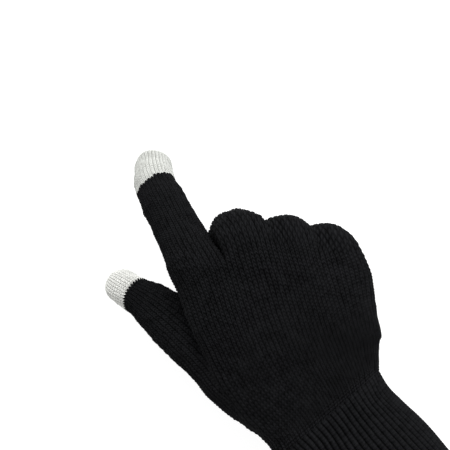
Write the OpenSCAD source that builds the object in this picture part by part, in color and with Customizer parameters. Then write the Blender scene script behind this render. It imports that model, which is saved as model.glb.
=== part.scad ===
// Knitted touchscreen glove for the right hand, in the shape it takes on a hand that points:
// the index finger reaches forward, the other three fingers are curled and the thumb stands off.
// It lies palm down. +Y runs to the fingers, +X to the little finger, +Z out of the back.

/* [Fabric] */
// Thickness of the knitted wall
wall = 1.6; // [1.2:0.1:2]
// Gap between sleeves that bend against each other
play = 0.4; // [0.3:0.1:0.6]

/* [Hand] */
// Upward slope of the back of the hand, in degrees
pitch = 15; // [12:1:18]
// Height of the wrist's centre above the surface
wrist_height = 31.7; // [28:0.1:32]

/* [Cuff] */
// Length of the ribbed cuff
cuff_length = 60; // [50:1:75]
// Sideways lean of the cuff from the hand's line, in degrees
cuff_lean = 24; // [15:1:28]
// Downward slope of the cuff to its open end, in degrees
cuff_drop = 7.5; // [4:0.5:8]
// Half of the cuff's width at its open end
cuff_half_width = 34; // [32:1:36]
// Half of the cuff's height
cuff_half_height = 23.5; // [22:0.5:25]

/* [Touch tips] */
// Length of the conductive thumb tip, back from the very end
thumb_tip_length = 15; // [12:1:18]

/* [Hidden] */

$fn = 48;
soft_fn = 24;          // facets round the hulled palm, which has no bore
big = 200;
black = [0.09, 0.09, 0.10];
grey = [0.80, 0.80, 0.77];
wrist_at = [6, 0, 0];
stand = [9.5, -50.16, wrist_height];   // from the wrist's frame to the middle of the footprint

// A finger: [knuckle centre, splay, rest bends, most bends, segment lengths, radii from root to tip]
KNUCKLE = 0;
SPLAY = 1;
BEND = 2;
MOST = 3;
LENGTH = 4;
RADIUS = 5;
index = [[-31.7, 84, 0], -9.5, [32, 12, 6], [75, 75, 48], [45, 25, 18], [11, 10.6, 10.1, 9.2]];
middle = [[-5, 90, 3], 0, [74, 104, 34], [79, 107, 35], [46, 29, 15], [10.2, 9.9, 9.3, 8.6]];
ring = [[15, 82, 1], 3, [76, 102, 33], [81, 105, 34], [42, 27, 15], [9.3, 8.9, 8.6, 8.1]];
little = [[33.2, 74, -5], 7, [76, 100, 31], [81, 103, 32], [35, 21, 13], [8.9, 8.8, 8.5, 8]];

// The thumb: centres of its root, middle joint and end joint, then its tip's centre
thumb_points = [[-22, 18, -8.5], [-48, 60, -25], [-58.5, 75, -36], [-71, 89, -45]];
thumb_radius = [16, 14.2, 11.2, 9.7];
thumb_most = [12, 20, 40];      // the most that each thumb joint bends

// Rounded cross-sections of the palm, from the wrist forward: each is four ball centres and a radius
palm_slices = [
    [[[-10, -1, 4.5], [21, -1, 4.5], [-10, -1, -4.5], [21, -1, -4.5]], 16],
    [[[-18, 22, 2], [27, 20, 1], [-18, 22, -4], [27, 20, -4]], 15.5],
    [[[-26, 48, 1], [32.5, 42, -1], [-26, 48, -2], [32, 42, -4]], 14.5],
    [[[-30, 70, 1], [34.5, 60, -2], [-30, 70, -1], [34, 60, -5]], 13.5],
    [[[-31.7, 84, 0], [33.2, 74, -5], [-5, 90, 3], [15, 82, 1]], 13.5]
];
slot_edges = [-big, -18.5, 5.25, 24.25, big];      // across the palm: the shares of its front edge
relief = 2;                     // degrees of room on each side of a bend
neck_half_width = 30;
neck_half_height = 21.5;
binding_length = 3;
elastic_rows = [-12, -24, -36, -48];
yarn = 0.6;                     // half the thickness of an elastic band

// --- shapes in the hand's frame: origin at the wrist, +Y to the fingers, +Z out of the back ---

module on_table() translate(stand) rotate([pitch, 0, 0]) children();

// A cone along +Y
module cone_y(length, r0, r1) rotate([-90, 0, 0]) cylinder(h = length, r1 = r0, r2 = r1);

// A prism across X that fills the angles from a0 to a1, measured from +Y towards +Z
module wedge(a0, a1) {
    mid = (a0 + a1) / 2;
    rotate([90, 0, 90])
        linear_extrude(height = 2 * big, center = true)
            polygon(concat([[0, 0]], [for (a = [a0, mid, a1]) 2 * big * [cos(a), sin(a)]]));
}

// Half space in front of y
module beyond(y) translate([-big, y, -big]) cube(2 * big);

// What a tube loses at its own joint: the way in from the tube before, and room for the bend
module back_room(most) wedge(min(max(108 + most, 156), 205), 270 + most / 2 + relief);

// What a tube loses at the next joint, so that the next tube can bend
module front_room(most) wedge(270 - most / 2 - relief, 380);

// A ball whose poles are on the tube's own line
module ball(r) rotate([90, 0, 0]) sphere(r);

// One knitted tube from its own joint at the origin to the next joint at +Y, open at both ends.
// Its ball end turns inside the tube before it. most0 and most1 are the most that the joints bend.
module sleeve(length, r0, r1, most0, most1) {
    difference() {
        union() {
            cone_y(length, r0, r1);
            ball(r0);
        }
        cone_y(length + 1, r0 - wall, r1 - wall);
        ball(r0 - wall);
        back_room(most0);
        // room for the next tube
        translate([0, length, 0]) {
            ball(r1 + play);
            front_room(most1);
        }
    }
}

// The last sleeve of a finger, closed by its rounded end
module end_sleeve(length, r0, r1, most0) {
    difference() {
        union() {
            cone_y(length, r0, r1);
            ball(r0);
            translate([0, length, 0]) ball(r1);
        }
        cone_y(length, r0 - wall, r1 - wall);
        ball(r0 - wall);
        translate([0, length, 0]) ball(r1 - wall);
        back_room(most0);
    }
}

// --- fingers ---

// Puts its children in the frame of a finger's segment, 0 to 2
module in_finger(f, segment) {
    on_table()
        translate(f[KNUCKLE])
            rotate([0, 0, -f[SPLAY]])
                rotate([-f[BEND][0], 0, 0])
                    if (segment == 0) children();
                    else translate([0, f[LENGTH][0], 0])
                        rotate([-f[BEND][1], 0, 0])
                            if (segment == 1) children();
                            else translate([0, f[LENGTH][1], 0])
                                rotate([-f[BEND][2], 0, 0])
                                    children();
}

module finger_sleeve(f, segment) {
    in_finger(f, segment)
        sleeve(f[LENGTH][segment], f[RADIUS][segment], f[RADIUS][segment + 1],
            f[MOST][segment], f[MOST][segment + 1]);
}

module finger_end(f) {
    in_finger(f, 2) end_sleeve(f[LENGTH][2], f[RADIUS][2], f[RADIUS][3], f[MOST][2]);
}

// --- thumb ---

function thumb_step(i) = thumb_points[i + 1] - thumb_points[i];

// Puts its children at a thumb joint, with +Y along that segment and -Z on the bending side
module in_thumb(segment) {
    d = thumb_step(segment);
    on_table()
        translate(thumb_points[segment])
            rotate([0, 0, atan2(d[1], d[0]) - 90])
                rotate([asin(d[2] / norm(d)), 0, 0])
                    rotate([0, -90, 0])
                        children();
}

module thumb_tube(segment) {
    sleeve(norm(thumb_step(segment)), thumb_radius[segment], thumb_radius[segment + 1],
        thumb_most[segment], thumb_most[segment + 1]);
}

module thumb_end() {
    in_thumb(2) end_sleeve(norm(thumb_step(2)), thumb_radius[2], thumb_radius[3], thumb_most[2]);
}

thumb_cut = norm(thumb_step(2)) + thumb_radius[3] - thumb_tip_length;

module thumb_distal_sleeve() {
    difference() {
        thumb_end();
        in_thumb(2) beyond(thumb_cut);
    }
}

module thumb_touch_tip() {
    intersection() {
        thumb_end();
        in_thumb(2) beyond(thumb_cut);
    }
}

// --- palm and cuff ---

// The palm's outer form, grown by grow: each pair of neighbouring slices is hulled
module palm_form(grow) {
    for (i = [0 : len(palm_slices) - 2])
        hull()
            for (s = [palm_slices[i], palm_slices[i + 1]], p = s[0])
                translate(p) sphere(s[1] + grow, $fn = soft_fn);
}

// Each finger's way out of the palm, and the room that its bend needs on the palm side
module knuckle_front() {
    fingers = [index, middle, ring, little];
    for (i = [0 : 3])
        intersection() {
            translate([slot_edges[i], -big, -big])
                cube([slot_edges[i + 1] - slot_edges[i], 2 * big, 2 * big]);
            translate(fingers[i][KNUCKLE]) rotate([0, 0, -fingers[i][SPLAY]]) {
                beyond(0);
                wedge(270 - fingers[i][MOST][0] / 2 - relief, 275);
            }
        }
}

// The thumb's root tube as a solid, grown by grow
module thumb_root_form(grow) {
    hull() {
        translate(thumb_points[0]) sphere(thumb_radius[0] + grow, $fn = soft_fn);
        translate(thumb_points[1]) sphere(thumb_radius[1] + grow, $fn = soft_fn);
    }
}

module palm_body() {
    on_table()
        difference() {
            palm_form(0);
            palm_form(-wall);
            thumb_root_form(play / 8);
            knuckle_front();
            cuff_place() mirror([0, 1, 0]) beyond(0);
        }
}

// The tube that joins the palm to the thumb, cut away where the palm's own cavity is
module thumb_base() {
    on_table()
        difference() {
            thumb_root_form(0);
            thumb_root_form(-wall);
            palm_form(-wall);
            translate(thumb_points[1]) sphere(thumb_radius[1] + play, $fn = 2 * soft_fn);
            thumb_front();
            cuff_place() mirror([0, 1, 0]) beyond(0);
        }
}

// Room at the thumb's middle joint for its bend
module thumb_front() {
    d = thumb_step(1);
    translate(thumb_points[1])
        rotate([0, 0, atan2(d[1], d[0]) - 90])
            rotate([asin(d[2] / norm(d)), 0, 0])
                rotate([0, -90, 0]) {
                    front_room(thumb_most[1]);
                    beyond(0);
                }
}

// The cuff's own frame: origin at the wrist, -Y to the open end
module cuff_place()
    translate(wrist_at) rotate([-pitch, 0, 0]) rotate([0, 0, cuff_lean]) rotate([cuff_drop, 0, 0]) children();

cuff_steps = [0, -0.45 * cuff_length, -cuff_length];
cuff_widths = [neck_half_width, cuff_half_width - 1, cuff_half_width];
cuff_heights = [neck_half_height, cuff_half_height, cuff_half_height];

// The cuff's outer form, grown by grow: an upright neck that widens to the open end
module cuff_form(grow) {
    for (i = [0 : 1])
        hull()
            for (j = [i, i + 1])
                cuff_ring(cuff_steps[j], cuff_widths[j] + grow, cuff_heights[j] + grow);
}

// A thin slice across the cuff: two half circles and the flat between them
module cuff_ring(y, half_width, half_height)
    for (side = [-1, 1])
        translate([side * (half_width - half_height), y - 0.01, 0])
            cone_y(0.01, half_height, half_height);

// Loops of elastic in grooves round the inside of the rib, grown by gap
module elastic_loops(gap)
    intersection() {
        difference() {
            cuff_form(2 * (yarn - wall) + gap);
            cuff_form(-2 * wall - gap);
        }
        for (y = elastic_rows)
            translate([-big, y - yarn - gap, -big]) cube([2 * big, 2 * (yarn + gap), 2 * big]);
    }

module cuff_open_end() translate([0, binding_length - cuff_length, 0]) mirror([0, 1, 0]) beyond(0);

module cuff_ribbing()
    on_table() cuff_place()
        difference() {
            cuff_form(0);
            cuff_form(-2 * wall);
            cuff_open_end();
            elastic_loops(play / 8);
        }

module cuff_elastic() on_table() cuff_place() elastic_loops(0);

module cuff_edge_binding()
    on_table() cuff_place()
        intersection() {
            difference() {
                cuff_form(play);
                cuff_form(-2 * wall);
            }
            cuff_open_end();
        }

color(black) palm_body();
color(black) thumb_base();
color(black) cuff_ribbing();
color("dimgray") cuff_elastic();
color(black) cuff_edge_binding();
color(black) finger_sleeve(index, 0);  // index_proximal_sleeve
color(black) finger_sleeve(index, 1);  // index_middle_sleeve
color(grey) finger_end(index);  // index_touch_tip
color(black) finger_sleeve(middle, 0);  // middle_proximal_sleeve
color(black) finger_sleeve(middle, 1);  // middle_middle_sleeve
color(black) finger_end(middle);  // middle_distal_sleeve
color(black) finger_sleeve(ring, 0);  // ring_proximal_sleeve
color(black) finger_sleeve(ring, 1);  // ring_middle_sleeve
color(black) finger_end(ring);  // ring_distal_sleeve
color(black) finger_sleeve(little, 0);  // little_proximal_sleeve
color(black) finger_sleeve(little, 1);  // little_middle_sleeve
color(black) finger_end(little);  // little_distal_sleeve
color(black) in_thumb(1) thumb_tube(1);  // thumb_proximal_sleeve
color(black) thumb_distal_sleeve();
color(grey) thumb_touch_tip();
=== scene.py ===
"""A knitted touchscreen glove on a pointing right hand, seen from above its back.
Sizes are in millimetres in the hand's own frame (origin at the wrist, +Y to the fingers, +X to the little
finger, +Z out of the back) until a piece is made, and in metres in the row frame after that. Each knitted
surface is a tube, given as a grid of points: a row runs once round it, and row follows row along it."""
import math
import bpy
import numpy as np
from mathutils import Matrix, Vector
from mathutils.kdtree import KDTree


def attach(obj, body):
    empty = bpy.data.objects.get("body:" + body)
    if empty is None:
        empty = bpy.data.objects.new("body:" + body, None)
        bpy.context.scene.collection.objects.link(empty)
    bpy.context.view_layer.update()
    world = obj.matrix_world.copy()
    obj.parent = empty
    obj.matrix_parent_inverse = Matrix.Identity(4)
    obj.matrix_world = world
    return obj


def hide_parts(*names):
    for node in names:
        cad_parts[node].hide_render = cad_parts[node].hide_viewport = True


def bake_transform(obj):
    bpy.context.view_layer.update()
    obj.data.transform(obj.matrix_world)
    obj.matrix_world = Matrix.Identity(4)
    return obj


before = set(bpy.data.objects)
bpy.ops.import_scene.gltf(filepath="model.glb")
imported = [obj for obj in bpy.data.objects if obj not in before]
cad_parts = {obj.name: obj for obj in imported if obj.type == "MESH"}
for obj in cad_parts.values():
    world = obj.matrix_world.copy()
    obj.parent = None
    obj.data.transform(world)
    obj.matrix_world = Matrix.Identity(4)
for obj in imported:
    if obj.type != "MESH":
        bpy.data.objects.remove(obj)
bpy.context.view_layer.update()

scene = bpy.context.scene

# ---------------------------------------------------------------- the hand, as in part.scad
PITCH = 15.0                           # upward slope of the back of the hand, in degrees
CUFF_LEAN, CUFF_DROP = 24.0, 7.5       # how far the cuff turns aside and down from the hand, in degrees
STAND = np.array([9.5, -50.16, 31.7])  # where the hand's origin is in the row frame
WRIST = np.array([6.0, 0.0, 0.0])      # the point that the cuff turns about
CUFF_LENGTH = 60.0
# k: the knuckle's place. splay: degrees towards the little finger. bend: degrees at rest in the three joints.
# seg: lengths of the three segments. r: radii at the web, the middle joint, the end joint and the tip.
# wales: columns of stitches on the back. cap: length of the pale end. lean: how far the fabric at the knuckle
# leans towards the little finger. plump: how much fuller it is there. short: how much the tip stops short.
FINGERS = {
    "index": dict(k=(-31.7, 84, 0), splay=-9.5, bend=(32, 12, 6), seg=(45, 25, 18),
                  r=(11.2, 10.7, 10.2, 9.9), wales=11, cap=31.0, lean=0, plump=0, short=4.6),
    "middle": dict(k=(-5, 90, 3), splay=0, bend=(74, 104, 34), seg=(46, 29, 15),
                   r=(10.9, 9.9, 9.0, 8.4), wales=11, cap=0, lean=-4.8, plump=1.3, short=0),
    "ring": dict(k=(15, 82, 1), splay=3, bend=(76, 102, 33), seg=(42, 27, 15),
                 r=(10.1, 9.0, 8.3, 7.8), wales=10, cap=0, lean=-3.9, plump=1.9, short=0),
    "little": dict(k=(33.2, 74, -5), splay=7, bend=(76, 100, 31), seg=(35, 21, 13),
                   r=(9.9, 8.9, 8.2, 7.7), wales=9, cap=0, lean=-3.1, plump=2.2, short=0),
}
SPLITS = (-18.5, 5.25, 24.25)          # across the palm: the boundaries between the fingers' wales
SPLIT_BACK = 8.0                       # from a knuckle back to where its finger's own tube starts
ROUND_BY = 9.0                         # from a knuckle on to where its finger's tube is round
BEND_REACH = {"knuckle": 14.0, "middle": 11.0, "end": 9.0}     # how far from a joint the fabric bends
# the thumb's root, middle joint, end joint and tip: their places, how far the middle of the fabric is from
# them, and its radii
THUMB = np.array([(-22, 18, -8.5), (-48, 60, -25), (-58.5, 75, -36), (-71, 89, -45)], float)
THUMB_LOFT = np.array([(0, 0, 0), (0.5, 0.6, 0), (0, 0.7, 0), (0.3, 0.8, 0)])
THUMB_R = (16.0, 14.2, 11.2, 9.7)
THUMB_BACK = 16.0                      # from its root back into the palm, to where its tube starts
THUMB_CAP = 19.4                       # length of its pale end
CAP_SLANT = 3.9                        # how much further back the index cap starts on the finger's back
CAP_TILT = 1.1                         # how much further back the index cap starts on the side of the thumb
TIP_ASIDE = 3.8                        # how far the index tip curves towards the middle finger
JOIN = 10.0                            # the palm and the thumb rise to meet where they are nearer than this
JOIN_ENDS = (12.0, 36.0)               # along the thumb: where that starts to fade, and where it has gone

# ---------------------------------------------------------------- the knit
SIDE = 6                               # wales on each side of the palm, and on each side of a finger
THUMB_WALES = 36
PER_WALE = 4                           # mesh columns in a wale, which is one column of stitches
PER_COURSE = 3                         # mesh rows in a course, which is one row of stitches
COURSE = 1.55
ROW = COURSE / PER_COURSE              # from one mesh row to the next
V_DEPTH = 0.8                          # how far a wale's middle runs ahead of its edges, in courses
RELIEF = 0.6                           # depth of the stitches
CREASE_SPREAD = 9.0                    # how widely the small folds at a joint spread along the finger
RIBS = 62                              # round the cuff
RIB_START = 0.5                        # the share of the ribs' depth that they have at the wrist seam
RIB_REACH = 18.0                       # how far into the palm the ribs fade out
RIB_FULL = 8.0                         # how far into the cuff the ribs are at their full depth
WALES_BACK = sum(f["wales"] for f in FINGERS.values())
PALM_COLS = (2 * WALES_BACK + 2 * SIDE) * PER_WALE
TOWARDS_FINGERS = np.array([0, 1.0, 0])


def rot(axis, degrees):
    """The matrix of a turn about an axis through the origin."""
    a = np.array(axis, float) / np.linalg.norm(axis)
    t = math.radians(degrees)
    k = np.array([[0, -a[2], a[1]], [a[2], 0, -a[0]], [-a[1], a[0], 0]])
    return np.eye(3) + math.sin(t) * k + (1 - math.cos(t)) * k @ k


HAND = rot((1, 0, 0), PITCH)


def to_row(p):
    """Hand frame in mm to row frame in metres."""
    return (p @ HAND.T + STAND) / 1000.0


def smooth(t):
    """An even rise from 0 at 0 to 1 at 1, flat at both ends and beyond."""
    t = np.clip(t, 0, 1)
    return t * t * (3 - 2 * t)


def resample(p, n):
    """n points spaced evenly along the polyline p, its ends included."""
    d = np.concatenate([[0], np.cumsum(np.linalg.norm(np.diff(p, axis=0), axis=1))])
    s = np.linspace(0, d[-1], n)
    return np.stack([np.interp(s, d, p[:, i]) for i in range(p.shape[1])], 1)


def keyed(keys, t):
    """A smooth curve through keys [(t, value), ...] at the values t."""
    k = np.array([a for a, _ in keys], float)
    v = np.array([b for _, b in keys], float)
    m = np.gradient(v, k, axis=0)
    i = np.clip(np.searchsorted(k, t) - 1, 0, len(k) - 2)
    h = k[i + 1] - k[i]
    u = np.clip((t - k[i]) / h, 0, 1)
    if v.ndim > 1:
        h, u = h[:, None], u[:, None]
    return ((2 * u**3 - 3 * u**2 + 1) * v[i] + (u**3 - 2 * u**2 + u) * h * m[i]
            + (-2 * u**3 + 3 * u**2) * v[i + 1] + (u**3 - u**2) * h * m[i + 1])


def waves(p, seed, scale):
    """Soft irregular waves of about unit height, over points p in mm."""
    g = np.random.default_rng(seed)
    out = np.zeros(p.shape[:-1])
    for _ in range(9):
        d = g.normal(size=3)
        d /= np.linalg.norm(d)
        out += np.sin(p @ d / scale * g.uniform(0.6, 1.6) * 2 * math.pi + g.uniform(0, 6.3))
    return out / 3.0


# ---------------------------------------------------------------- knitted surfaces
def normals(p):
    """Outward normals of a tube's grid of points."""
    w = np.concatenate([p[:, -1:], p, p[:, :1]], 1)
    n = np.cross(w[:, 2:] - w[:, :-2], np.gradient(p, axis=0))
    return n / np.maximum(np.linalg.norm(n, axis=2, keepdims=True), 1e-9)


def off_middle(cols):
    """How far each mesh column is from the middle of its wale, from 0 to 1."""
    return np.abs(2 * (np.arange(cols) % PER_WALE) / PER_WALE - 1)


def stitch_height(cols, rows):
    """Relief of plain knit from 0 to 1: two legs to a wale that lean together, one pair to a course."""
    side = off_middle(cols)
    leg = np.sin(math.pi * side) ** 0.7 * (1 - 0.25 * side) + 0.62 * (1 - side) ** 2
    fv = (np.arange(rows) % PER_COURSE) / PER_COURSE
    g = np.random.default_rng(rows * 1000 + cols)
    uneven = 1 + 0.12 * g.normal(size=(rows // PER_COURSE + 1, cols // PER_WALE))
    uneven = np.repeat(np.repeat(uneven, PER_COURSE, 0)[:rows], PER_WALE, 1)
    return leg[None, :] * (0.68 + 0.32 * np.cos(2 * math.pi * fv))[:, None] * uneven


def rib_relief(turn):
    """Depth of the ribs in mm at each share of a turn round the wrist, and a height from 0 to 1."""
    rib = 0.5 - 0.5 * np.cos(2 * math.pi * RIBS * turn)
    return 1.25 * rib ** 0.8 - 0.4, rib


def v_shift(cols):
    """How far each column of a wale runs ahead of its edge, in mm, which makes the V of a stitch."""
    return V_DEPTH * (1 - off_middle(cols)) * COURSE


def creases(along, phase, tight, joints):
    """Small folds across a finger near its joints, each given as (place, depth). tight is how close the folds
    are, in radians to a mm, and phase slants them."""
    out = np.zeros(along.shape)
    for at, depth in joints:
        out += depth * np.exp(-((along - at) / CREASE_SPREAD) ** 2) * np.sin((along - at) * tight + phase)
    return out


def row_numbers(rows, cols):
    """The row of each face of a tube."""
    return np.arange(rows - 1)[:, None] * np.ones((1, cols), int)


def grid_faces(rows, cols):
    """The four points of each face of a tube, by row and column."""
    r = np.arange(rows - 1)[:, None]
    c = np.arange(cols)[None, :]
    n = (c + 1) % cols
    return np.stack([r * cols + c, r * cols + n, (r + 1) * cols + n, (r + 1) * cols + c], -1)


def build(name, p, material, keep=None, cap_end=False, flip=False, wales=None):
    """A mesh from a tube's grid of points in metres in the row frame, and the points that it uses. keep
    chooses its faces, cap_end closes its last row, flip turns it inside out, and wales is how many there are
    round it."""
    rows, cols = p.shape[:2]
    quads = grid_faces(rows, cols)
    u = np.arange(cols + 1) * (wales or cols / PER_WALE) / cols
    v = np.arange(rows) / PER_COURSE
    r, c = np.meshgrid(np.arange(rows - 1), np.arange(cols), indexing="ij")
    uv = np.stack([np.stack([u[c], v[r]], -1), np.stack([u[c + 1], v[r]], -1),
                   np.stack([u[c + 1], v[r + 1]], -1), np.stack([u[c], v[r + 1]], -1)], 2)
    kept = np.ones(quads.shape[:2], bool) if keep is None else keep
    quads, uv = quads[kept], uv[kept]
    if flip:
        quads, uv = quads[:, ::-1], uv[:, ::-1]
    used = np.unique(quads)
    index = np.full(rows * cols, -1)
    index[used] = np.arange(len(used))
    faces = index[quads].tolist()
    points = p.reshape(-1, 3)[used]
    if cap_end:
        ring = index[(rows - 1) * cols + np.arange(cols)]
        points = np.concatenate([points, p[-1].mean(0)[None]])
        tip = len(points) - 1
        faces += [[int(ring[i]), int(ring[(i + 1) % cols]), tip] for i in range(cols)]
    mesh = bpy.data.meshes.new(name)
    mesh.from_pydata(points.tolist(), [], faces)
    layer = mesh.uv_layers.new(name="knit")
    flat = np.zeros((len(mesh.loops), 2), np.float32)
    flat[:len(uv) * 4] = uv.reshape(-1, 2)
    if cap_end:
        flat[len(uv) * 4:] = (0.5, v[-1])
    layer.data.foreach_set("uv", flat.ravel())
    mesh.polygons.foreach_set("use_smooth", np.ones(len(mesh.polygons), bool))
    mesh.materials.append(material)
    mesh.update()
    piece = bpy.data.objects.new(name, mesh)
    scene.collection.objects.link(piece)
    return piece, used


def reshape(piece, p, used, cap_end):
    """Moves a piece's points to the grid p."""
    points = p.reshape(-1, 3)[used]
    if cap_end:
        points = np.concatenate([points, p[-1].mean(0)[None]])
    piece.data.vertices.foreach_set("co", points.astype(np.float32).ravel())
    piece.data.update()


def tube_profile(stations):
    """(distance along, radius) of a tube through such stations, one mesh row apart, to its rounded end. The
    dome stops a little short of its pole, where build closes it."""
    tip, tip_r = stations[-1]
    y = np.linspace(stations[0][0], tip, 400)
    t = np.linspace(0, math.pi / 2 * 0.94, 60)[1:]
    dome = np.stack([tip + tip_r * np.sin(t), tip_r * np.cos(t) ** 0.9], 1)
    line = np.concatenate([np.stack([y, keyed(stations, y)], 1), dome])
    length = np.linalg.norm(np.diff(line, axis=0), axis=1).sum()
    return resample(line, int(length / ROW) + 1)


def rise_to_meet(p, other, other_normals):
    """How far each point of p rises, in mm, to meet the surface other in a soft hollow and not in a crease,
    and the row of other that is nearest to it."""
    points, outward = other.reshape(-1, 3), other_normals.reshape(-1, 3)
    tree = KDTree(len(points))
    for i, point in enumerate(points):
        tree.insert(point, i)
    tree.balance()
    flat = p.reshape(-1, 3)
    near = np.array([tree.find(point)[1] for point in flat])
    apart = ((flat - points[near]) * outward[near]).sum(1)
    rise = JOIN / 4 * (1 - np.clip(apart / JOIN, 0, 1)) ** 2
    return rise.reshape(p.shape[:-1]), (near // other.shape[1]).reshape(p.shape[:-1])


def join_share(s):
    """How much of that hollow there is at the distances s along the thumb."""
    return 1 - smooth((s - JOIN_ENDS[0]) / (JOIN_ENDS[1] - JOIN_ENDS[0]))


# ---------------------------------------------------------------- palm
# along the palm, 0 at the wrist to 1 at the fingers: middle x, y, z, half width, height above, depth below
PALM_KEYS = [
    (0.00, (8.0, 0.0, 0.0, 31.8, 21.0, 21.0)),
    (0.10, (7.8, 6.0, 0.0, 32.9, 19.8, 20.6)),
    (0.33, (5.2, 23.0, -0.8, 37.9, 17.4, 19.4)),
    (0.66, (2.9, 46.0, -1.0, 42.8, 15.6, 17.4)),
    (1.00, (3.0, 75.0, -1.2, 46.4, 14.8, 15.0)),
]
PALM_LENGTH = 76                   # about how long its fabric is, which sets its number of courses
BODY_POWER = 2.5                   # how square the palm's cross-section is
EDGE = 0.94                        # how far across the back's wales reach, as a share of its half width
CUFF_TURN_ENDS = 0.6               # how far along the palm the cuff's turn has faded out
# across the hand at the knuckles, by x: how far forward they are, how high the palm's middle is, and how high
# the knuckles stand and the valleys lie between them
KNUCKLE_LINE = [(-60, 80.0), (-31.7, 84.0), (-5, 90.0), (15, 82.5), (33.2, 74.0), (56, 60.0)]
ARCH = [(-55, -2.0), (-31.7, 0.4), (-5, 3.0), (15, 1.2), (33.2, -4.6), (54, -10.0)]
BUMPS = [(-50, -0.6), (-31.7, 0.9), (-18.5, -1.0), (-5, 1.0), (5.25, -0.8), (15, 0.8), (24.25, -0.8),
         (33.2, 0.7), (52, -0.5)]


def palm_turn(v):
    """The turn of the palm's cross-section, from the cuff's at the wrist to none."""
    k = 1 - smooth(v / CUFF_TURN_ENDS)
    return rot((1, 0, 0), -PITCH * k) @ rot((0, 0, 1), CUFF_LEAN * k) @ rot((1, 0, 0), CUFF_DROP * k)


def wale_edges(edge, counts):
    """The mesh columns between the places in edge, with counts wales from each place to the next."""
    return np.concatenate([np.linspace(a, b, n * PER_WALE + 1)[:-1]
                           for a, b, n in zip(edge, edge[1:], counts)])


def palm_section(v):
    """One closed row of the palm, in the hand frame: thumb side upwards, back, far side, palm side."""
    cx, cy, cz, half, top, low = keyed(PALM_KEYS, np.array([v]))[0]
    to_fingers = float(smooth(v))
    counts = np.array([f["wales"] for f in FINGERS.values()])
    ends = np.array([-EDGE * half, *(s - cx for s in SPLITS), EDGE * half])
    even = EDGE * half * (-1 + 2 * np.concatenate([[0], np.cumsum(counts)]) / counts.sum())
    edge = even * (1 - to_fingers) + ends * to_fingers
    back_x = wale_edges(edge, counts)
    palm_x = wale_edges(edge[::-1], counts[::-1])

    def height_at(x, h):
        return h * np.maximum(1 - np.abs(x / half) ** BODY_POWER, 0) ** (1 / BODY_POWER)

    corner = math.acos(EDGE ** (BODY_POWER / 2))
    t = np.linspace(-corner, corner, 81)
    side_x = half * np.cos(t) ** (2 / BODY_POWER)
    side_z = np.where(t > 0, top, low) * np.sign(t) * np.abs(np.sin(t)) ** (2 / BODY_POWER)
    side = resample(np.stack([side_x, side_z], 1), SIDE * PER_WALE + 1)
    x = np.concatenate([-side[:-1, 0], back_x, side[::-1][:-1, 0], palm_x])
    height = np.concatenate([side[:-1, 1], height_at(back_x, top), side[::-1][:-1, 1],
                             -height_at(palm_x, low)])
    p = np.array([cx, cy, cz]) + np.stack([x, np.zeros_like(x), height], 1) @ palm_turn(v).T
    across = p[:, 0]
    p[:, 1] += to_fingers * (keyed(KNUCKLE_LINE, across) - SPLIT_BACK - PALM_KEYS[-1][1][1])
    near_knuckles = float(smooth((v - 0.55) / 0.45))
    on_back = (height > 0) * smooth(height / 12)
    p[:, 2] += to_fingers * keyed(ARCH, across) + near_knuckles * keyed(BUMPS, across) * on_back
    return p


def palm_piece(palm, palm_normals, thumb, cloth):
    """The palm with its stitches. The cuff's ribs fade out on it, and it rises to meet the thumb."""
    rows = len(palm)
    v = np.linspace(0, 1, rows)[:, None]
    rise, near = rise_to_meet(palm, thumb["surface"], normals(thumb["surface"]))
    rise *= join_share(thumb["along"])[near]
    off_wrist, off_fingers = smooth(v * 12), smooth((1 - v) * 6)
    soft = (0.55 * waves(palm, 5, 34.0) + 0.22 * waves(palm, 6, 13.0)) * (off_fingers * off_wrist)
    step = np.linalg.norm(np.roll(palm[0], -1, axis=0) - palm[0], axis=1)
    around = np.concatenate([[0], np.cumsum(step)[:-1]]) / step.sum()
    ribbed = RIB_START * (1 - smooth(np.arange(rows) * ROW / RIB_REACH))[:, None]
    knit = (1 - ribbed) * stitch_height(PALM_COLS, rows) * RELIEF + ribbed * rib_relief(around)[0]
    ahead = np.gradient(palm, axis=0)
    ahead /= np.linalg.norm(ahead, axis=2, keepdims=True)
    straight_on = smooth((v - 0.9) * 10)[..., None]
    ahead = (1 - straight_on) * ahead + straight_on * TOWARDS_FINGERS
    p = palm + palm_normals * (knit + soft + rise)[..., None]
    p += ahead * (v_shift(PALM_COLS) * off_wrist)[..., None]
    piece, _ = build("palm_knit", to_row(p), cloth)
    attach(piece, "palm")
    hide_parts("palm_body")


# ---------------------------------------------------------------- fingers, straight at first
FLAT = 0.97                        # a finger's height as a share of its width
LEAN_AT, LEAN_SPREAD = 8.0, 10.0   # along a curled finger: where it leans most, and how widely


def finger_columns(name):
    """The columns of the palm's last row that go into a finger: the first and last of its back, and the first
    and last of its palm side."""
    names = list(FINGERS)
    i = names.index(name)
    cols = [FINGERS[n]["wales"] * PER_WALE for n in names]
    back = SIDE * PER_WALE + sum(cols[:i])
    under = 2 * SIDE * PER_WALE + sum(cols) + sum(cols[i + 1:])
    return back, back + cols[i], under, under + cols[i]


def finger_start(name, palm):
    """The closed row where a finger's tube leaves the palm, in the hand frame."""
    last = np.concatenate([palm[-1], palm[-1][:1]])
    back_from, back_to, under_from, under_to = finger_columns(name)
    n = SIDE * PER_WALE
    back, under = last[back_from:back_to + 1], last[under_from:under_to + 1]
    near = last[:n + 1] if name == "index" else np.linspace(under[-1], back[0], n + 1)
    far = last[back_to:back_to + n + 1] if name == "little" else np.linspace(back[-1], under[0], n + 1)
    return np.concatenate([near[:-1], back[:-1], far[:-1], under[:-1]])


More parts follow.
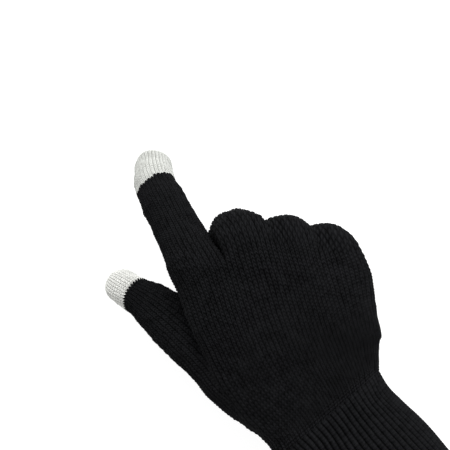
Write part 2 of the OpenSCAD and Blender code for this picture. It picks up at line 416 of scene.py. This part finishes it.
def finger_profile(f):
    """(distance along, radius) of a straight finger, which is a little thicker at its joints."""
    s0, s1, s2 = f["seg"]
    r_web, r1, r2, r3 = f["r"]
    return tube_profile([
        (-SPLIT_BACK, r_web + 1.6), (0, r_web + 1.4 + f["plump"]), (0.5 * s0, r_web),
        (s0 - 6, r1 + 0.1), (s0, r1 + 0.35), (s0 + 7, r1 - 0.1),
        (s0 + s1 - 5, r2 + 0.1), (s0 + s1, r2 + 0.2), (s0 + s1 + 6, 0.5 * (r2 + r3)),
        (s0 + s1 + s2 - f["short"], r3)])


def finger_tube(name, start, turn):
    """A straight finger's knitted surface in its own frame (knuckle at the origin, +Y along it), with each
    row's distance along it and each column's angle round it."""
    f = FINGERS[name]
    s0, s1, s2 = f["seg"]
    profile = finger_profile(f)
    along, radius = profile[:, :1], profile[:, 1:]
    rows, cols = len(along), len(start)
    phi = math.pi + 2 * math.pi * (0.5 * SIDE * PER_WALE / cols - np.arange(cols) / cols)
    rounded = smooth((along + SPLIT_BACK) / (ROUND_BY + SPLIT_BACK))
    x = (1 - rounded) * start[:, 0] + rounded * (np.cos(phi) * radius)
    y = along + (1 - rounded) * (start[:, 1] + SPLIT_BACK)
    z = (1 - rounded) * start[:, 2] + rounded * (FLAT * np.sin(phi) * radius)
    p = np.stack([x, y, z], -1)
    p[..., 0] += f["lean"] * rounded * np.exp(-((along - LEAN_AT) / LEAN_SPREAD) ** 2)
    if f["cap"]:
        p[..., 0] += TIP_ASIDE * smooth((along - s0 - 0.6 * s1) / 30.0)
    wrinkle = 0.28 * waves(p, 3 + len(name), 13.0) * smooth((along + SPLIT_BACK) / 10.0)
    slant = 0.35 * p[..., 0] + 0.2 * p[..., 2]
    wrinkle += creases(p[..., 1], slant, 1.1, [(s0, 0.14), (s0 + s1, 0.12)])
    p = p + normals(p) * (stitch_height(cols, rows) * RELIEF + wrinkle)[..., None]
    own = smooth((along + SPLIT_BACK) / 8.0)
    forward = (1 - own) * (TOWARDS_FINGERS @ turn) + own * TOWARDS_FINGERS
    before_tip = smooth((s0 + s1 + s2 - f["short"] - p[..., 1] + 6) / 8.0)
    p += (v_shift(cols) * before_tip)[..., None] * forward[:, None]
    return p, along[:, 0], phi


def turned(p, centre, share, degrees):
    """p turned about the X line through centre by its share of an angle."""
    a = np.radians(degrees) * share
    q = p - centre
    c, s = np.cos(a), np.sin(a)
    return np.stack([q[..., 0], q[..., 1] * c - q[..., 2] * s, q[..., 1] * s + q[..., 2] * c], -1) + centre


def cap_start(f, along, phi):
    """The row where a finger's pale cap starts in each column, moved by whole stitches."""
    tip = sum(f["seg"]) - f["short"] + f["r"][-1]
    wale_middle = np.arange(len(phi)) // PER_WALE * PER_WALE + PER_WALE // 2
    angle = phi[np.minimum(wale_middle, len(phi) - 1)]
    further_back = np.round((CAP_SLANT * np.sin(angle) - CAP_TILT * np.cos(angle)) / COURSE).astype(int)
    return np.searchsorted(along, tip - f["cap"]) - further_back * PER_COURSE


def finger_pieces(name, palm, cloth, cap_cloth):
    """A finger's pieces, one across each joint, and the index's pale cap. Each is made straight and then bent
    to the rest pose by the same turn about the same joint."""
    f = FINGERS[name]
    s0, s1, _ = f["seg"]
    knuckle = np.array(f["k"], float)
    turn = rot((0, 0, 1), -f["splay"])
    start = (finger_start(name, palm) - knuckle) @ turn
    p, along, phi = finger_tube(name, start, turn)

    def place(q):
        return to_row(knuckle + q @ turn.T)

    # each joint: how far along it is, where its bend starts and ends from there, and where its piece ends.
    # The knuckle's bend starts just past the row that the finger shares with the palm
    shared_row = float(start[:, 1].max()) + 0.5
    middle, end = BEND_REACH["middle"], BEND_REACH["end"]
    joints = [(0, shared_row, BEND_REACH["knuckle"], 0.5 * s0 + 1.0), (s0, -middle, middle, s0 + 0.5 * s1),
              (s0 + s1, -end, end, np.inf)]
    bent = p
    for (at, low, high, piece_end), degrees in list(zip(joints, f["bend"]))[::-1]:
        share = smooth((p[..., 1] - at - low) / (high - low))
        share = np.where(p[..., 1] > piece_end, 1.0, share)
        bent = turned(bent, np.array([0, at, 0.0]), share, -degrees)

    straight, rest = place(p), place(bent)
    rows = row_numbers(len(along), len(phi))
    cuts = [0, *np.searchsorted(along, [piece_end for *_, piece_end in joints])]
    bodies = ["palm", f"{name}_proximal", f"{name}_middle", f"{name}_distal"]
    for i, part in enumerate(["root", "middle", "end"]):
        at, low, high, _ = joints[i]
        keep = (rows >= cuts[i]) & (rows < cuts[i + 1])
        jobs = [(f"{name}_{part}_knit", keep, cloth, f"{bodies[i + 1]}_sleeve", "black_knit", part == "end")]
        if part == "end" and f["cap"]:
            is_cap = rows >= cap_start(f, along, phi)
            jobs = [(f"{name}_end_knit", keep & ~is_cap, cloth, None, "black_knit", False),
                    (f"{name}_tip_knit", keep & is_cap, cap_cloth, f"{name}_touch_tip",
                     f"{name}_conductive_knit", True)]
        for title, faces, fabric, node, slot, closed_end in jobs:
            piece, used = build(title, straight, fabric, keep=faces, cap_end=closed_end)
            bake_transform(piece)
            reshape(piece, rest, used, closed_end)
            if node:
                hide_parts(node)


# ---------------------------------------------------------------- thumb
def thumb_hinge(d):
    """The line that a thumb segment of direction d bends about."""
    yaw = math.degrees(math.atan2(d[1], d[0])) - 90
    lift = math.degrees(math.asin(d[2] / np.linalg.norm(d)))
    return rot((0, 0, 1), yaw) @ rot((1, 0, 0), lift) @ rot((0, 1, 0), -90) @ np.array([1.0, 0, 0])


def thumb_tube():
    """The thumb's smooth surface in the hand frame, with each row's distance along it and direction, and each
    column's angle round it."""
    d = np.diff(THUMB, axis=0)
    unit = [v / np.linalg.norm(v) for v in d]
    joints = np.concatenate([[0], np.cumsum(np.linalg.norm(d, axis=1))])
    s_mid, s_end, s_tip = joints[1:]
    profile = tube_profile([
        (-THUMB_BACK, 8.0), (-5.0, 13.2), (6, THUMB_R[0] - 0.5), (0.6 * s_mid, 14.8), (s_mid, THUMB_R[1]),
        (0.5 * (s_mid + s_end), 13.3), (s_end, THUMB_R[2] + 1.1), (s_end + 7, 10.5), (s_tip, THUMB_R[3])])
    s, radius = profile[:, 0], profile[:, 1]
    line = [(-THUMB_BACK, THUMB[0] - THUMB_BACK * unit[0]), *zip(joints, THUMB + THUMB_LOFT)]
    centre = keyed(line, np.minimum(s, s_tip))
    centre += np.maximum(s - s_tip, 0)[:, None] * unit[2]
    t = np.gradient(centre, axis=0)
    t /= np.linalg.norm(t, axis=1, keepdims=True)
    hinge = np.mean([thumb_hinge(v) for v in d[1:]], 0)
    ex = hinge - (t @ hinge)[:, None] * t
    ex /= np.linalg.norm(ex, axis=1, keepdims=True)
    ez = np.cross(ex, t)
    cols = THUMB_WALES * PER_WALE
    phi = math.pi - 2 * math.pi * np.arange(cols) / cols
    flat = 1 - 0.10 * smooth((s - s_mid) / 20)[:, None]      # its end is less high than wide
    p = (centre[:, None] + radius[:, None, None] * (np.cos(phi)[None, :, None] * ex[:, None]
         + (flat * np.sin(phi))[..., None] * ez[:, None]))
    return dict(surface=p, along=s, direction=t, phi=phi, joints=(s_mid, s_end, s_tip), unit=unit)


def thumb_pieces(thumb, palm, palm_normals, cloth, cap_cloth):
    """The thumb's pieces, one across each joint, and its pale cap. Its fabric rises to meet the palm."""
    s, phi = thumb["along"], thumb["phi"]
    s_mid, s_end, s_tip = thumb["joints"]
    cols = len(phi)
    p = thumb["surface"].copy()
    n = normals(p)
    along = s[:, None] * np.ones((1, cols))
    beside = s < JOIN_ENDS[1]
    rise, _ = rise_to_meet(p[beside], palm, palm_normals)
    p[beside] += n[beside] * (rise * join_share(along[beside]))[..., None]
    relief = stitch_height(cols, len(s)) * RELIEF + 0.32 * waves(p, 21, 14.0)
    relief += creases(along, 2.0 * np.cos(phi), 1.3, [(s_mid, 0.25), (s_end, 0.18)])
    p = p + n * relief[..., None]
    p += (v_shift(cols) * smooth((s_tip - along + 6) / 8.0))[..., None] * thumb["direction"][:, None]
    row = to_row(p)
    rows = row_numbers(len(s), cols)
    cut, border = np.searchsorted(s, [0.5 * (s_mid + s_end), s_tip + THUMB_R[3] - THUMB_CAP])
    last = (2, ("thumb_proximal", "thumb_distal"), "end")
    parts = [("thumb_root_knit", rows < cut, cloth, (1, ("palm", "thumb_proximal"), "middle"),
              ("thumb_base", "thumb_proximal_sleeve"), "black_knit", False),
             ("thumb_end_knit", (rows >= cut) & (rows < border), cloth, last,
              ("thumb_distal_sleeve",), "black_knit", False),
             ("thumb_tip_knit", rows >= border, cap_cloth, last,
              ("thumb_touch_tip",), "thumb_conductive_knit", True)]
    for title, faces, fabric, (i, bodies, joint), nodes, slot, closed_end in parts:
        piece, _ = build(title, row, fabric, keep=faces, cap_end=closed_end)
        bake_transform(piece)
        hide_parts(*nodes)


# ---------------------------------------------------------------- cuff
# along the cuff, 0 at the wrist to 1 at its mouth: half width and half height
CUFF_KEYS = [(0.0, (31.4, 21.0)), (0.12, (29.9, 20.8)), (0.30, (31.3, 21.9)), (0.55, (33.0, 22.9)),
             (1.0, (33.8, 23.2))]
CENTRED_BY = 25.0                  # how far along the cuff its middle has moved over to WRIST
WALL = 3.0                         # from the cuff's outside in to its lining
KNIT_SHORT = 1.5                   # how far short of the mouth the ribbed knit ends, inside the edge's roll
EDGE_FROM, EDGE_TO = 2.6, 0.2      # from the mouth: the middle and the end of the overlocked edge's roll
EDGE_PROUD = 0.35                  # how far the roll stands out from the cuff's wall on both sides
ELASTIC_AT = (12, 24, 36, 48)      # from the wrist: the four elastic yarns
ELASTIC_HALF = 1                   # half of an elastic yarn's width
ELASTIC_IN, ELASTIC_OUT = -0.35, 0.75      # its inner and outer face, outwards from the lining


def cuff_rows(wrist_ring, depth, offset):
    """Rows of the cuff in the row frame. depth is how far each is from the wrist, offset how far outwards."""
    turn = palm_turn(0.0)
    middle_x, _, _, half_width, height, _ = PALM_KEYS[0][1]
    aside = np.array([middle_x - WRIST[0], 0, 0]) @ turn
    ring = (wrist_ring - WRIST) @ turn - aside
    rows = []
    for y in depth:
        wide, high = keyed(CUFF_KEYS, np.array([y / CUFF_LENGTH]))[0]
        row = ring * np.array([wide / half_width, 0, high / height])
        rows.append(row + aside * (1 - smooth(y / CENTRED_BY)) + np.array([0, -y, 0]))
    q = np.stack(rows)
    q = q + normals(q[:, ::-1])[:, ::-1] * np.asarray(offset)[..., None]
    return to_row(WRIST + q @ turn.T)


def cuff_walls(wrist_ring, cloth):
    """The ribbed outside of the cuff and its lining."""
    rows = int(CUFF_LENGTH / COURSE) * PER_COURSE + 1
    depth = np.linspace(0, CUFF_LENGTH - KNIT_SHORT, rows)
    deep_rib, rib = rib_relief(np.arange(PALM_COLS) / PALM_COLS)
    course = np.cos(2 * math.pi * (np.arange(rows) % PER_COURSE) / PER_COURSE)[:, None]
    grown = RIB_START + (1 - RIB_START) * smooth(depth / RIB_FULL)[:, None]
    relief = (stitch_height(PALM_COLS, rows) * RELIEF * (1 - grown)
              + grown * (deep_rib + 0.05 * course * rib))
    smooth_wall = cuff_rows(wrist_ring, depth, np.zeros((rows, PALM_COLS)))
    relief = relief + 0.35 * waves(smooth_wall * 1000, 77, 26.0) * smooth(depth / 10.0)[:, None]
    outside = cuff_rows(wrist_ring, depth, relief)
    inner_rows = rows // PER_COURSE
    inner_depth = np.linspace(CUFF_LENGTH - KNIT_SHORT, 1.0, inner_rows)[::-1]
    inside = cuff_rows(wrist_ring, inner_depth, (-WALL - 0.7 * (1 - rib)) * np.ones((inner_rows, 1)))[::-1]
    ribbing, _ = build("cuff_rib_knit", outside, cloth, flip=True, wales=RIBS)
    lining, _ = build("cuff_inside_knit", inside, cloth, flip=True, wales=RIBS)
    for wall in (ribbing, lining):
        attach(wall, "palm")
    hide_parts("cuff_ribbing")


def cuff_edge(wrist_ring, cloth):
    """The overlocked edge: a roll of yarn that runs round the mouth, with its stitches slanted."""
    depth = [CUFF_LENGTH - EDGE_FROM, CUFF_LENGTH - EDGE_TO]
    outside = cuff_rows(wrist_ring, depth, np.full((2, PALM_COLS), EDGE_PROUD))
    inside = cuff_rows(wrist_ring, depth, np.full((2, PALM_COLS), -WALL - EDGE_PROUD))
    middle = (outside[0] + inside[0]) / 2
    wide = (outside[0] - inside[0]) / 2
    deep = (outside[1] + inside[1]) / 2 - middle
    turns = np.linspace(0, 2 * math.pi, 17)[:-1, None]
    swell = 1.0 + 0.10 * np.cos(turns + 2 * math.pi * np.arange(PALM_COLS) / PER_WALE)
    roll = middle + wide * (np.cos(turns) * swell)[..., None] + deep * (np.sin(turns) * swell)[..., None]
    binding, _ = build("cuff_edge_overlock", np.concatenate([roll, roll[:1]]), cloth)
    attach(binding, "palm")
    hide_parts("cuff_edge_binding")


def cuff_elastics(wrist_ring, cloth):
    """The elastic yarns on the inside."""
    for i, y in enumerate(ELASTIC_AT):
        depth = [y - ELASTIC_HALF, y + ELASTIC_HALF]
        low, high = (cuff_rows(wrist_ring, depth, np.full((2, PALM_COLS), -WALL + d))
                     for d in (ELASTIC_IN, ELASTIC_OUT))
        loop = np.stack([low[0], low[1], high[1], high[0], low[0]])
        band, _ = build(f"cuff_elastic_{i + 1}", loop, cloth)
        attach(band, "palm")
        if i == 0:
            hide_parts("cuff_elastic")


# ---------------------------------------------------------------- materials
FUZZ_SCALE, PATCH_SCALE = 2600.0, 90.0     # of the noise for loose fibres and for uneven dye, per metre


def nodes_of(owner):
    """The emptied node tree of a material."""
    owner.use_nodes = True
    owner.node_tree.nodes.clear()
    return owner.node_tree


def math_node(t, op, a, b=None, c=None):
    """The output of a maths node on numbers or other nodes' outputs."""
    n = t.nodes.new("ShaderNodeMath")
    n.operation = op
    for i, v in enumerate((a, b, c)):
        if v is None:
            continue
        if isinstance(v, (int, float)):
            n.inputs[i].default_value = v
        else:
            t.links.new(v, n.inputs[i])
    return n.outputs[0]


def noise(t, coord, scale, detail):
    """Noise over the piece itself, from 0 to 1."""
    n = t.nodes.new("ShaderNodeTexNoise")
    n.inputs["Scale"].default_value = scale
    n.inputs["Detail"].default_value = detail
    t.links.new(coord.outputs["Object"], n.inputs["Vector"])
    return n.outputs["Fac"]


def stitch_nodes(t, u, v, rows):
    """Height of plain knit from 0 to 1, and a number for each leg of each stitch. u counts wales, v counts
    courses, and rows is how far the gaps between courses show."""
    away = math_node(t, "ABSOLUTE", math_node(t, "SUBTRACT", math_node(t, "FRACT", u), 0.5))
    side = math_node(t, "MULTIPLY", away, 2.0)                                   # 1 at a wale's edge
    leg = math_node(t, "SINE", math_node(t, "MULTIPLY", side, math.pi))          # one bulge to each leg
    leg = math_node(t, "POWER", math_node(t, "MAXIMUM", leg, 0.0), 0.7)
    middle = math_node(t, "SUBTRACT", 1.0, side)
    leg = math_node(t, "MULTIPLY_ADD", math_node(t, "MULTIPLY", middle, middle), 0.62, leg)
    leg = math_node(t, "MINIMUM", leg, 1.0)
    lean = math_node(t, "ADD", v, math_node(t, "MULTIPLY", side, 0.1))
    fv = math_node(t, "FRACT", math_node(t, "ADD", lean, 0.5))
    course = math_node(t, "SINE", math_node(t, "MULTIPLY", fv, math.pi))
    course = math_node(t, "POWER", math_node(t, "MAXIMUM", course, 0.0), 0.8)
    open_gap = math_node(t, "MULTIPLY_ADD", middle, 2.6, math_node(t, "MULTIPLY", course, 0.3))
    leg = math_node(t, "MULTIPLY", leg, math_node(t, "MINIMUM", open_gap, 1.0))
    height = math_node(t, "MULTIPLY", leg, math_node(t, "MULTIPLY_ADD", course, rows, 1.0 - rows))
    stitch = t.nodes.new("ShaderNodeTexWhiteNoise")
    stitch.noise_dimensions = "2D"
    cell = t.nodes.new("ShaderNodeCombineXYZ")
    t.links.new(math_node(t, "FLOOR", math_node(t, "MULTIPLY", u, 2.0)), cell.inputs[0])
    t.links.new(math_node(t, "FLOOR", lean), cell.inputs[1])
    t.links.new(cell.outputs[0], stitch.inputs["Vector"])
    return height, stitch.outputs["Value"]


def knit_material(name, light, gap_shade, rough, sheen, bump, spec, variation, rows=0.8):
    """Plain knit from the piece's own map of stitches, with fibres and uneven dye from noise. light is the
    colour of the stitches; the second colour is painted shade, which the gaps between them take where their
    height is low."""
    mat = bpy.data.materials.new(name)
    t = nodes_of(mat)
    uv = t.nodes.new("ShaderNodeUVMap")
    uv.uv_map = "knit"
    xyz = t.nodes.new("ShaderNodeSeparateXYZ")
    t.links.new(uv.outputs[0], xyz.inputs[0])
    height, stitch = stitch_nodes(t, xyz.outputs[0], xyz.outputs[1], rows)
    coord = t.nodes.new("ShaderNodeTexCoord")
    fuzz = noise(t, coord, FUZZ_SCALE, 4.0)
    patch = noise(t, coord, PATCH_SCALE, 3.0)
    # painted shade: the stitches' height sets their colour, so the gaps between legs and between courses take
    # the second colour as if in shade; the fibre noise adds a random tone
    stitch_shade_and_fuzz = math_node(t, "ADD", math_node(t, "MULTIPLY", height, 0.75), math_node(t, "MULTIPLY", fuzz, 0.25))
    vary = math_node(t, "MULTIPLY", math_node(t, "SUBTRACT", stitch, 0.5), variation)
    vary = math_node(t, "MULTIPLY_ADD", math_node(t, "SUBTRACT", patch, 0.5), variation, vary)
    mix = t.nodes.new("ShaderNodeMix")
    mix.data_type = "RGBA"
    mix.inputs[6].default_value = (*gap_shade, 1)
    mix.inputs[7].default_value = (*light, 1)
    t.links.new(math_node(t, "ADD", stitch_shade_and_fuzz, vary), mix.inputs[0])
    shader = t.nodes.new("ShaderNodeBsdfPrincipled")
    t.links.new(mix.outputs[2], shader.inputs["Base Color"])
    t.links.new(math_node(t, "MULTIPLY_ADD", fuzz, 0.15, rough - 0.08), shader.inputs["Roughness"])
    shader.inputs["Specular IOR Level"].default_value = spec
    shader.inputs["Sheen Weight"].default_value = sheen
    shader.inputs["Sheen Roughness"].default_value = 0.45
    shader.inputs["Sheen Tint"].default_value = (*[min(1, 0.4 + 6 * c) for c in light], 1)
    relief = t.nodes.new("ShaderNodeBump")
    relief.inputs["Strength"].default_value = bump
    relief.inputs["Distance"].default_value = 0.0006
    t.links.new(math_node(t, "MULTIPLY_ADD", fuzz, 0.35, height), relief.inputs["Height"])
    t.links.new(relief.outputs[0], shader.inputs["Normal"])
    out = t.nodes.new("ShaderNodeOutputMaterial")
    t.links.new(shader.outputs[0], out.inputs[0])
    return mat


# in each knit below, the second colour is painted shade for the gaps between the stitches
black = knit_material("black_fine_knit", (0.0080, 0.0082, 0.0091), (0.0003, 0.0003, 0.0004),
                      rough=0.9, sheen=0.01, bump=1.0, spec=0.03, variation=0.5)
rib_black = knit_material("black_rib_knit", (0.0074, 0.0076, 0.0084), (0.0003, 0.0003, 0.0004),
                          rough=0.9, sheen=0.01, bump=0.8, spec=0.03, variation=0.4, rows=0.35)
edge_black = knit_material("black_overlock_yarn", (0.006, 0.006, 0.0066), (0.001, 0.001, 0.001),
                           rough=0.85, sheen=0.01, bump=0.6, spec=0.08, variation=0.3)
elastic_black = knit_material("covered_elastic", (0.008, 0.008, 0.009), (0.003, 0.003, 0.003),
                              rough=0.8, sheen=0.0, bump=0.4, spec=0.05, variation=0.2)
silver_index = knit_material("index_conductive_knit", (0.53, 0.542, 0.514), (0.19, 0.19, 0.175),
                             rough=0.75, sheen=0.1, bump=0.7, spec=0.35, variation=0.2)
# the thumb's cap is the same silver yarn as the index's; its lighter colour is painted light, for the light
# that the thumb gets less of
silver_thumb_painted_light = knit_material("thumb_conductive_knit", (0.80, 0.805, 0.77), (0.18, 0.18, 0.165),
                             rough=0.75, sheen=0.1, bump=0.7, spec=0.35, variation=0.2)

# ---------------------------------------------------------------- make the pieces
palm_rows = int(PALM_LENGTH / COURSE) * PER_COURSE + 1
palm = np.stack([palm_section(v) for v in np.linspace(0, 1, palm_rows)])
palm_normals = normals(palm)
thumb = thumb_tube()
cuff_ring = resample(np.concatenate([palm[0], palm[0][:1]]), PALM_COLS + 1)[:-1]
palm_piece(palm, palm_normals, thumb, black)
for finger in FINGERS:
    finger_pieces(finger, palm, black, silver_index)
thumb_pieces(thumb, palm, palm_normals, black, silver_thumb_painted_light)
cuff_walls(cuff_ring, rib_black)
cuff_edge(cuff_ring, edge_black)
cuff_elastics(cuff_ring, elastic_black)

# ---------------------------------------------------------------- floor, light and camera
FLOOR_HALF, FLOOR_Z = 3, -0.002
WORLD_LIGHT = 0.72
TARGET = Vector((0.0095, 0.00984, 0.0347))     # the point that the lights and the camera face
LIGHT_DISTANCE, LIGHT_SIZE = 1.2, 0.7
CAMERA_AZIMUTH, CAMERA_ELEVATION, CAMERA_DISTANCE = -17.0, 71.0, 0.375


def make_floor():
    """A floor that glows almost to white by itself and takes a faint shadow."""
    mesh = bpy.data.meshes.new("floor")
    corners = [(x * FLOOR_HALF, y * FLOOR_HALF, 0) for x, y in ((-1, -1), (1, -1), (1, 1), (-1, 1))]
    mesh.from_pydata(corners, [], [(0, 1, 2, 3)])
    floor = bpy.data.objects.new("floor", mesh)
    scene.collection.objects.link(floor)
    floor.location.z = FLOOR_Z
    white = bpy.data.materials.new("studio_white")
    t = nodes_of(white)
    glow = t.nodes.new("ShaderNodeEmission")
    glow.inputs["Color"].default_value = (1, 1, 1, 1)
    glow.inputs["Strength"].default_value = 0.90
    matte = t.nodes.new("ShaderNodeBsdfDiffuse")
    matte.inputs["Color"].default_value = (0.25, 0.25, 0.25, 1)
    both = t.nodes.new("ShaderNodeAddShader")
    t.links.new(glow.outputs[0], both.inputs[0])
    t.links.new(matte.outputs[0], both.inputs[1])
    t.links.new(both.outputs[0], t.nodes.new("ShaderNodeOutputMaterial").inputs[0])
    mesh.materials.append(white)
    return floor


def make_world():
    world = bpy.data.worlds.new("studio")
    scene.world = world
    world.use_nodes = True
    background = world.node_tree.nodes["Background"]
    background.inputs[0].default_value = (1, 1, 1, 1)
    background.inputs[1].default_value = WORLD_LIGHT


def direction(azimuth, elevation):
    """From the target, in degrees: azimuth 0 is towards the cuff and 90 towards the little finger."""
    a, e = math.radians(azimuth), math.radians(elevation)
    return Vector((math.sin(a) * math.cos(e), -math.cos(a) * math.cos(e), math.sin(e)))


def area_light(name, azimuth, elevation, watts):
    back = direction(azimuth, elevation)
    data = bpy.data.lights.new(name, "AREA")
    data.shape = "DISK"
    data.size = LIGHT_SIZE
    data.energy = watts
    light = bpy.data.objects.new(name, data)
    scene.collection.objects.link(light)
    light.location = TARGET + back * LIGHT_DISTANCE
    light.rotation_euler = back.to_track_quat("Z", "Y").to_euler()


def make_camera():
    """The camera's right is level. Its shifts put the hand to the right of the picture's middle and below."""
    back = direction(CAMERA_AZIMUTH, CAMERA_ELEVATION)
    azimuth = math.radians(CAMERA_AZIMUTH)
    right = Vector((math.cos(azimuth), math.sin(azimuth), 0))
    up = back.cross(right)
    at = TARGET + back * CAMERA_DISTANCE
    camera = bpy.data.objects.new("camera", bpy.data.cameras.new("camera"))
    scene.collection.objects.link(camera)
    camera.matrix_world = Matrix([(right[i], up[i], back[i], at[i]) for i in range(3)] + [(0, 0, 0, 1)])
    camera.data.sensor_width = 36.0
    camera.data.lens = 60.96
    camera.data.shift_x = -0.109
    camera.data.shift_y = 0.171
    camera.data.clip_start = 0.01
    scene.camera = camera


make_floor()
make_world()
area_light("key", 60, 50, 9)
area_light("top", 175, 50, 16)
make_camera()
scene.view_settings.view_transform = "Standard"
scene.render.resolution_x = scene.render.resolution_y = 450
